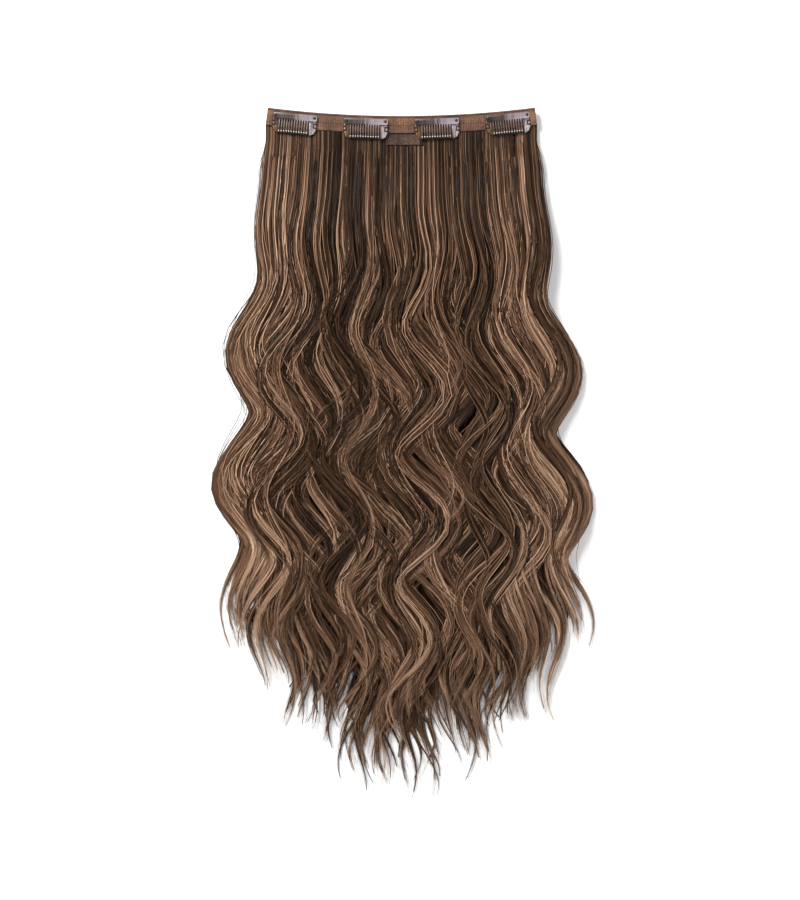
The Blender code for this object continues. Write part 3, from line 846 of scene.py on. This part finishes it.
def add_tape(tubes):
    cloth = cloth_finish(
        "tape_cloth", (0.035, 0.015, 0.007), (0.125, 0.055, 0.026), (0.32, 0.148, 0.075)
    )
    # The ground finish colours the tape band under the ribs, and is also painted shade on the ribs
    # behind the clips' teeth
    ground_and_painted_shade = cloth_finish(
        "tape_ground_and_painted_shade", (0.025, 0.012, 0.008), (0.06, 0.03, 0.02), (0.12, 0.06, 0.04)
    )
    thread = cloth_finish(
        "tape_thread", (0.03, 0.015, 0.011), (0.06, 0.03, 0.02), (0.12, 0.065, 0.043)
    )
    roll_finish = cloth_finish(
        "rolled_edge", (0.035, 0.018, 0.012), (0.09, 0.046, 0.03), (0.17, 0.09, 0.06)
    )
    low, high = TAPE_TOP - TAPE_HEIGHT, TAPE_TOP
    middle = (low + high) / 2
    ends = (-HALF_CHORD, HALF_CHORD)
    tape = rounded_bar(
        "tape_band", ends, (low, high + GAP), TAPE_UNDERSIDE, TAPE_FACE - 0.1 * MM, ground_and_painted_shade, 72
    )
    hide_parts("tape")
    rows = ((low + 0.35 * MM, middle - 0.3 * MM), (middle + 0.3 * MM, high - 0.35 * MM))
    between = (END_FOLD_WIDTH - HALF_CHORD, HALF_CHORD - END_FOLD_WIDTH)
    seats = [clip_seat(number).translation.x for number in range(CLIP_COUNT)]
    # Ribs of the lower row behind each clip's teeth take the dark ground finish: painted shade,
    # standing in for the shadow between the teeth
    plain, shadowed = [], []
    for line in rib_lines(between, rows, TAPE_FACE - RIB_SUNK):
        beside = min(abs(line[0].x - seat) for seat in seats)
        low_row = line[0].y - arc_rise(line[0].x) < middle - 1 * MM
        under_teeth = low_row and beside < TOOTH_COUNT * TOOTH_PITCH / 2
        (shadowed if under_teeth else plain).append(line)
    ribs = put_lines("tape_ribs", plain, RIB_RADIUS, 6, 0.5, cloth, tubes)
    painted_shade_ribs = put_lines("tape_ribs_painted_shade", shadowed, RIB_RADIUS, 6, 0.5, ground_and_painted_shade, tubes)
    stitches = stitch_lines(between, middle, TAPE_FACE + 0.02 * MM, 1.9 * MM)
    seam = put_lines("tape_seam", stitches, THREAD_RADIUS, 6, 1.0, thread, tubes)
    pieces = [ribs, painted_shade_ribs, seam]
    for side, sign in (("left", -1), ("right", 1)):
        name = "end_fold_" + side
        under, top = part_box(name)[0][2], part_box(name)[1][2]
        ends = sorted((sign * HALF_CHORD, sign * (HALF_CHORD - END_FOLD_WIDTH)))
        fold = rounded_bar(name + "_cloth", ends, (low, high), under, top - 0.05 * MM, cloth, 6)
        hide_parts(name)
        inner = (ends[0] + 0.5 * MM, ends[1] - 0.5 * MM)
        upright = rib_lines(inner, rows, top - RIB_SUNK)
        fold_ribs = put_lines(name + "_ribs", upright, 0.5 * MM, 8, 0.5, cloth, tubes)
        sewn = sign * (HALF_CHORD - 0.75 * END_FOLD_WIDTH)
        stitches = []
        for number in range(5):
            start = low + (number + 0.2) * TAPE_HEIGHT / 5
            aboves = [start + step / 4 * 1.5 * MM for step in range(5)]
            stitches.append([arc_point(sewn, above, top + 0.05 * MM) for above in aboves])
        hem = put_lines(name + "_stitches", stitches, THREAD_RADIUS, 6, 1.0, thread, tubes)
        pieces += [fold, fold_ribs, hem]
    roll = [
        arc_point(
            blend(-HALF_CHORD, HALF_CHORD, step / 220),
            TAPE_TOP + BINDING_RADIUS + GAP,
            (TAPE_UNDERSIDE + TAPE_FACE) / 2,
        )
        for step in range(221)
    ]
    binding = put_lines(
        "top_binding_roll", [roll], BINDING_RADIUS + 0.3 * GAP, 10, 1.0, roll_finish, tubes, 0.05
    )
    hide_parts("top_binding")
    edge = -HEAD_HEIGHT / 2 + 0.3 * MM
    head_finish = cloth_finish(
        "head_threads", (0.02, 0.011, 0.008), (0.06, 0.035, 0.025), (0.18, 0.11, 0.08)
    )
    strip = (BARE_STRIP[0] - 3 * MM, BARE_STRIP[1] + 3 * MM)
    upright = rib_lines(strip, ((edge, low + 0.5 * MM),), HEADS_TOP + 0.02 * MM, 0.85 * MM)
    threads = put_lines("head_threads", upright, 0.3 * MM, 6, 0.8, head_finish, tubes)
    stitches = stitch_lines(strip, edge + 0.5 * MM, HEADS_TOP + 0.38 * MM, 1.6 * MM)
    head_seam = put_lines("head_seam", stitches, 0.22 * MM, 6, 1.0, thread, tubes)
    for piece in [tape, *pieces, binding]:
        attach(piece, "weft")


def turned(name, profile, material, steps, seat, axis):
    """A closed solid with a profile of places along an axis and distances from it."""
    points = []
    for step in range(steps):
        turn = 2 * math.pi * step / steps
        for place, reach in profile:
            side, up = reach * math.cos(turn), reach * math.sin(turn)
            local = (place, side, up) if axis == "X" else (side, up, place)
            points.append(seat @ Vector(local))
    made = add_mesh(name, points, ring_faces(steps, len(profile), True), material)
    bm = bmesh.new()
    bm.from_mesh(made.data)
    bmesh.ops.remove_doubles(bm, verts=bm.verts, dist=1e-6)
    bmesh.ops.recalc_face_normals(bm, faces=bm.faces)
    bm.to_mesh(made.data)
    bm.free()
    return made


def softened(name, source, seat, width, material):
    """A copy of a CAD node with its edges softened. Each of its points is marked with how
    far along and down its clip it lies."""
    made = merged_copy(name, source, material)
    bm = bmesh.new()
    bm.from_mesh(made.data)
    bmesh.ops.dissolve_limit(bm, angle_limit=math.radians(1), verts=bm.verts, edges=bm.edges)
    bm.to_mesh(made.data)
    bm.free()
    modifier = made.modifiers.new("Edges", "BEVEL")
    modifier.width = width
    modifier.segments = 2
    modifier.limit_method = "ANGLE"
    modifier.angle_limit = math.radians(40)
    mesh = with_modifiers(made)
    made.data = mesh
    mesh.shade_smooth()
    mesh.set_sharp_from_angle(angle=math.radians(35))
    points = np.empty(len(mesh.vertices) * 3, np.float32)
    mesh.vertices.foreach_get("co", points)
    back = np.array(seat.inverted())
    local = points.reshape(-1, 3) @ back[:3, :3].T + back[:3, 3]
    store(mesh, "along", local[:, 0] / CLIP_LENGTH + 0.5)
    store(mesh, "drop", -local[:, 1] / BAR_DROP)
    return made


def clip_seat(number):
    along = (number - (CLIP_COUNT - 1) / 2) * CLIP_PITCH
    place = Matrix.Translation(arc_point(along, CLIP_TOP, FRAME_UNDERSIDE))
    return place @ Matrix.Rotation(along / ARC_RADIUS, 4, "Z")


def comb_bend(x, drop):
    """The comb bows along its length, and its teeth rise over the bar and dip at the tips."""
    share = (drop - SPINE_HEIGHT) / TOOTH_LENGTH
    rise = TOOTH_RISE * smooth(share / 0.6) - TOOTH_DIP * smooth((share - 0.8) / 0.2)
    return SPINE_BOW * (1 - (2 * x / CLIP_LENGTH) ** 2) + rise


def sleeve_profile():
    half = SLEEVE_LENGTH / 2
    round_off = 0.3 * MM
    inside = SLEEVE_RADIUS - SLEEVE_WALL
    right = [(half - round_off, SLEEVE_RADIUS), (half - 0.1 * MM, SLEEVE_RADIUS - 0.1 * MM)]
    right += [(half, inside + 0.05 * MM), (half, inside)]
    steps = [(place * half, SLEEVE_RADIUS) for place in (-0.6, -0.2, 0.2, 0.6)]
    left = [(-x, y) for x, y in reversed(right)]
    return left + steps + right


def rivet_profile(bend):
    """Places along the rivet's axis and distances from it, from its domed head to its foot."""
    rise = COMB_UNDERSIDE - FRAME_UNDERSIDE + bend
    head = rise + COMB_THICKNESS + 0.15 * MM
    foot = 0.2 * FRAME_THICKNESS
    dome = [
        (head + RIVET_HEAD_HEIGHT * math.cos(turn), RIVET_HEAD_RADIUS * math.sin(turn))
        for turn in (0, 0.35, 0.7, 1.05, 1.35, math.pi / 2)
    ]
    shank = [(head, RIVET_SHANK_RADIUS), (foot, RIVET_SHANK_RADIUS), (foot, 0)]
    return dome + shank


def sewing_lines(seat):
    """Threads through an end plate's holes: over its outer edge, and crossed between the holes."""
    top = FRAME_THICKNESS + 0.14 * MM
    under = -0.25 * MM
    lines = []
    for sign in (-1, 1):
        x = sign * (CLIP_LENGTH / 2 - RIVET_INSET)
        out = sign * (CLIP_LENGTH / 2 + 0.5 * MM)
        first, second = SEWING_HOLE_DROPS
        for drop in SEWING_HOLE_DROPS:
            for lean in (-0.3 * MM, 0.3 * MM):
                path = [(x, drop, under), (x, drop, top), (blend(x, out, 0.5), drop + lean, top)]
                path += [(out, drop + 2 * lean, top - 0.2 * MM), (out, drop + 2 * lean, under)]
                lines.append(path)
        for shift in (-0.2 * MM, 0.25 * MM):
            path = [(x + shift, first, under), (x + shift, first, top)]
            path += [(x, (first + second) / 2, top), (x - shift, second, top)]
            path += [(x - shift, second, under)]
            lines.append(path)
    return [[seat @ Vector((x, -drop, z)) for x, drop, z in line] for line in lines]


def add_clips(tubes):
    # The comb's colours along the clip, dark brown at the left to lilac-grey sheen at the right,
    # are painted reflection
    steel = steel_finish(
        "comb_steel",
        (
            (0.1, (0.022, 0.013, 0.01)),
            (0.42, (0.055, 0.035, 0.03)),
            (0.6, (0.2, 0.16, 0.168)),
            (0.95, (0.3, 0.255, 0.28)),
        ),
        0.1,
        ((0.1, (0.05, 0.03, 0.021)), (0.5, (0.075, 0.047, 0.034)), (0.9, (0.11, 0.07, 0.053))),
    )
    # The frame's lilac-grey towards its right end, in its upper and lower stops, is painted
    # reflection, as on the comb
    lacquer = steel_finish(
        "frame_lacquer",
        (
            (0.02, (0.04, 0.022, 0.015)),
            (0.3, (0.03, 0.017, 0.012)),
            (0.75, (0.05, 0.033, 0.03)),
            (0.97, (0.14, 0.115, 0.125)),
        ),
        0.3,
        (
            (0.0, (0.2, 0.09, 0.022)),
            (0.12, (0.05, 0.026, 0.014)),
            (0.8, (0.05, 0.03, 0.024)),
            (0.93, (0.32, 0.27, 0.28)),
        ),
    )
    # The tip beads' pale colour is partly a painted glint on the ball ends
    bright = steel_finish(
        "tip_steel", ((0.2, (0.5, 0.45, 0.42)), (0.8, (0.8, 0.76, 0.76))), 0.3
    )
    rubber = rubber_finish()
    thread = cloth_finish(
        "sewing_thread", (0.006, 0.004, 0.003), (0.015, 0.009, 0.006), (0.04, 0.022, 0.014)
    )
    beads = points_to_beads()
    for number in range(CLIP_COUNT):
        name = f"clip_{number + 1}"
        seat = clip_seat(number)
        comb = softened(name + "_toothed_comb", name + "_comb", seat, 0.1 * MM, steel)
        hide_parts(name + "_comb")
        plate = softened(name + "_plate_frame", name + "_frame", seat, 0.12 * MM, lacquer)
        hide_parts(name + "_frame")
        bar = seat @ Matrix.Translation((0, -BAR_DROP, FRAME_THICKNESS / 2))
        sleeve = turned(name + "_bar_sleeve", sleeve_profile(), rubber, 24, bar, "X")
        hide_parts(name + "_sleeve")
        rise = COMB_UNDERSIDE - FRAME_UNDERSIDE + COMB_THICKNESS / 2
        tips = []
        for tooth in range(TOOTH_COUNT):
            x = TEETH_SHIFT + (tooth - (TOOTH_COUNT - 1) / 2) * TOOTH_PITCH
            drop = SPINE_HEIGHT + TOOTH_LENGTH - 0.35 * MM
            tips.append(seat @ Vector((x, -drop, rise + comb_bend(x, drop))))
        ends = add_mesh(name + "_tooth_tips", tips, [], bright)
        run_tree(ends, beads, {"Size": TOOTH_TIP_RADII, "Finish": bright})
        pins = []
        for sign in (-1, 1):
            x = sign * (CLIP_LENGTH / 2 - RIVET_INSET)
            pin = seat @ Matrix.Translation((x, -RIVET_DROP, 0))
            profile = rivet_profile(comb_bend(x, 0))
            pins.append(turned(f"{name}_rivet", profile, steel, 24, pin, "Z"))
        bm = bmesh.new()
        for pin in pins:
            bm.from_mesh(pin.data)
        bm.to_mesh(pins[0].data)
        bm.free()
        bpy.data.objects.remove(pins[1])
        pins[0].name = name + "_rivets"
        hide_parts(name + "_rivet_left", name + "_rivet_right")
        loops = sewing_lines(seat)
        sewn = put_lines(name + "_sewing", loops, SEWING_RADIUS, 6, 1.0, thread, tubes)
        for piece, body, slot in (
            (comb, name, "clip_steel"),
            (ends, name, "clip_steel"),
            (pins[0], name, "clip_steel"),
            (plate, "weft", "clip_lacquer"),
            (sleeve, "weft", "sleeve"),
        ):
            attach(piece, body)


# Stage


def add_stage():
    floor_mesh = bpy.data.meshes.new("floor")
    reach = 3.0
    corners = [(-reach, -reach, 0), (reach, -reach, 0), (reach, reach, 0), (-reach, reach, 0)]
    floor_mesh.from_pydata(corners, [], [(0, 1, 2, 3)])
    floor = placed("floor", floor_mesh)
    white = new_finish("floor_white", Base_Color=(0.93, 0.93, 0.93, 1), Roughness=0.9)[0]
    floor_mesh.materials.append(white)
    world = bpy.context.scene.world or bpy.data.worlds.new("world")
    bpy.context.scene.world = world
    world.use_nodes = True
    background = world.node_tree.nodes["Background"]
    background.inputs["Color"].default_value = (1, 1, 1, 1)
    background.inputs["Strength"].default_value = 0.25
    for name, place, size, power in (
        ("key", (-0.8, 0.75, 1.0), 0.6, 46),
        ("fill", (0.9, -0.5, 1.6), 1.2, 16),
    ):
        light = bpy.data.lights.new(name, "AREA")
        light.size = size
        light.energy = power
        lamp = placed(name, light)
        lamp.location = place
        aim = Vector((0, -0.2, 0)) - Vector(place)
        lamp.rotation_euler = aim.to_track_quat("-Z", "Y").to_euler()


def add_camera():
    """Straight above, as far off as shows the photo's height at its scale."""
    frame_height = PHOTO_HEIGHT * PIXEL_MM * MM
    camera = bpy.data.cameras.new("camera")
    camera.lens = LENS
    camera.sensor_width = SENSOR
    camera.sensor_fit = "VERTICAL"
    camera.sensor_height = SENSOR
    distance = frame_height / SENSOR * LENS
    made = placed("camera", camera)
    made.location = (-1.0 * MM, -237.8 * MM, distance)
    bpy.context.scene.camera = made
    bpy.context.scene.view_settings.view_transform = "Standard"


tubes = lines_to_tubes()
add_hair(tubes)
add_tape(tubes)
add_clips(tubes)
add_stage()
add_camera()
